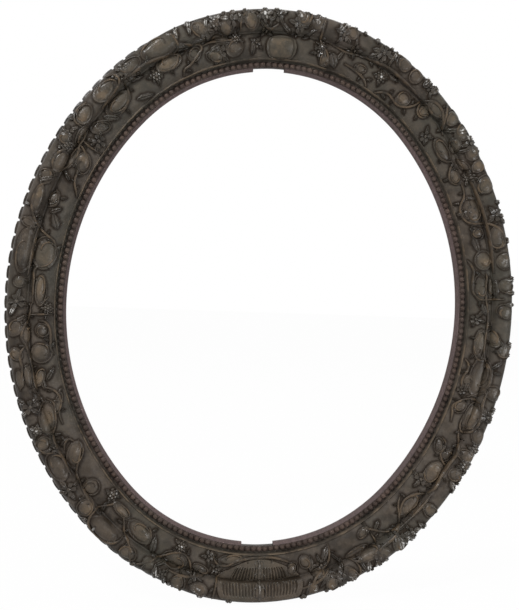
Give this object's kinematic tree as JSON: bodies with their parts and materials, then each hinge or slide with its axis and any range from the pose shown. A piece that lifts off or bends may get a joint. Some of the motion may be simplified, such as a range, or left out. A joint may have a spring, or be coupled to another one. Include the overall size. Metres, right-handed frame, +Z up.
{
  "type": "oval picture frame",
  "caption": "Tall oval picture frame with a beaded sight edge, dark bronzed vine ornament, a leaf rim, a hanging ring and turn buttons.",
  "frame": {"origin": "middle of the oval, half way between the wall and the highest ornament", "axes": "+X to the right seen from the front, +Z up, front towards -Y, wall side towards +Y"},
  "size_m": [0.63, 0.0516, 0.722],
  "materials": {
    "bronzed_front": "dark bronze paint, satin",
    "bronzed_ornament": "dark bronze paint, worn on the high places",
    "bronzed_pearls": "dark bronze paint, rubbed light on the crowns",
    "mauve_lip": "dull reddish undercoat",
    "back_wood": "plain wood, aged",
    "dowel_wood": "plain wood",
    "screw_steel": "dull",
    "brass_fittings": "dull, aged"
  },
  "bodies": {
    "frame": {"back_dowels": "dowel_wood", "back_ring_lower_left": "back_wood", "back_ring_lower_right": "back_wood", "back_ring_upper_left": "back_wood", "back_ring_upper_right": "back_wood", "bead_strip_bottom": "bronzed_pearls", "bead_strip_left": "bronzed_pearls", "bead_strip_right": "bronzed_pearls", "bead_strip_top": "bronzed_pearls", "bottom_fan": "bronzed_ornament", "bottom_fan_stem": "bronzed_ornament", "domes_lower_left": "bronzed_ornament", "domes_lower_right": "bronzed_ornament", "domes_upper_left": "bronzed_ornament", "domes_upper_right": "bronzed_ornament", "flowers_lower_left": "bronzed_ornament", "flowers_lower_right": "bronzed_ornament", "flowers_upper_left": "bronzed_ornament", "flowers_upper_right": "bronzed_ornament", "front_dowels": "dowel_wood", "front_moulding_bottom": "bronzed_front", "front_moulding_left": "bronzed_front", "front_moulding_right": "bronzed_front", "front_moulding_top": "bronzed_front", "grapes_lower_left": "bronzed_ornament", "grapes_lower_right": "bronzed_ornament", "grapes_upper_left": "bronzed_ornament", "grapes_upper_right": "bronzed_ornament", "hanger_plate": "brass_fittings", "hanger_screws": "screw_steel", "leaf_rim_bottom": "bronzed_ornament", "leaf_rim_left": "bronzed_ornament", "leaf_rim_right": "bronzed_ornament", "leaf_rim_top": "bronzed_ornament", "leaves_lower_left": "bronzed_ornament", "leaves_lower_right": "bronzed_ornament", "leaves_upper_left": "bronzed_ornament", "leaves_upper_right": "bronzed_ornament", "ring_screws": "screw_steel", "sight_lip_left": "mauve_lip", "sight_lip_right": "mauve_lip", "tendrils_lower_left": "bronzed_ornament", "tendrils_lower_right": "bronzed_ornament", "tendrils_upper_left": "bronzed_ornament", "tendrils_upper_right": "bronzed_ornament", "top_shield": "bronzed_ornament", "turn_button_screws": "screw_steel"},
    "hanger_ring_body": {"hanger_ring": "brass_fittings"},
    "turn_button_upper_right_body": {"turn_button_upper_right": "brass_fittings"},
    "turn_button_right_body": {"turn_button_right": "brass_fittings"},
    "turn_button_lower_right_body": {"turn_button_lower_right": "brass_fittings"},
    "turn_button_lower_left_body": {"turn_button_lower_left": "brass_fittings"},
    "turn_button_left_body": {"turn_button_left": "brass_fittings"},
    "turn_button_upper_left_body": {"turn_button_upper_left": "brass_fittings"}
  },
  "joints": [
    {"name": "hanger_ring_swing", "type": "hinge", "parent": "frame", "child": "hanger_ring_body", "pos_m": [0, 0.02155, 0.32], "axis": [1, 0, 0], "range_deg": [0, 180]},
    {"name": "turn_button_upper_right_swivel", "type": "hinge", "parent": "frame", "child": "turn_button_upper_right_body", "pos_m": [0.1397, 0.01935, 0.26533], "axis": [0, 1, 0], "range_deg": [-90, 90]},
    {"name": "turn_button_right_swivel", "type": "hinge", "parent": "frame", "child": "turn_button_right_body", "pos_m": [0.265, 0.01935, 0], "axis": [0, 1, 0], "range_deg": [-90, 90]},
    {"name": "turn_button_lower_right_swivel", "type": "hinge", "parent": "frame", "child": "turn_button_lower_right_body", "pos_m": [0.1397, 0.01935, -0.26533], "axis": [0, 1, 0], "range_deg": [-90, 90]},
    {"name": "turn_button_lower_left_swivel", "type": "hinge", "parent": "frame", "child": "turn_button_lower_left_body", "pos_m": [-0.1397, 0.01935, -0.26533], "axis": [0, 1, 0], "range_deg": [-90, 90]},
    {"name": "turn_button_left_swivel", "type": "hinge", "parent": "frame", "child": "turn_button_left_body", "pos_m": [-0.265, 0.01935, 0], "axis": [0, 1, 0], "range_deg": [-90, 90]},
    {"name": "turn_button_upper_left_swivel", "type": "hinge", "parent": "frame", "child": "turn_button_upper_left_body", "pos_m": [-0.1397, 0.01935, 0.26533], "axis": [0, 1, 0], "range_deg": [-90, 90]}
  ]
}
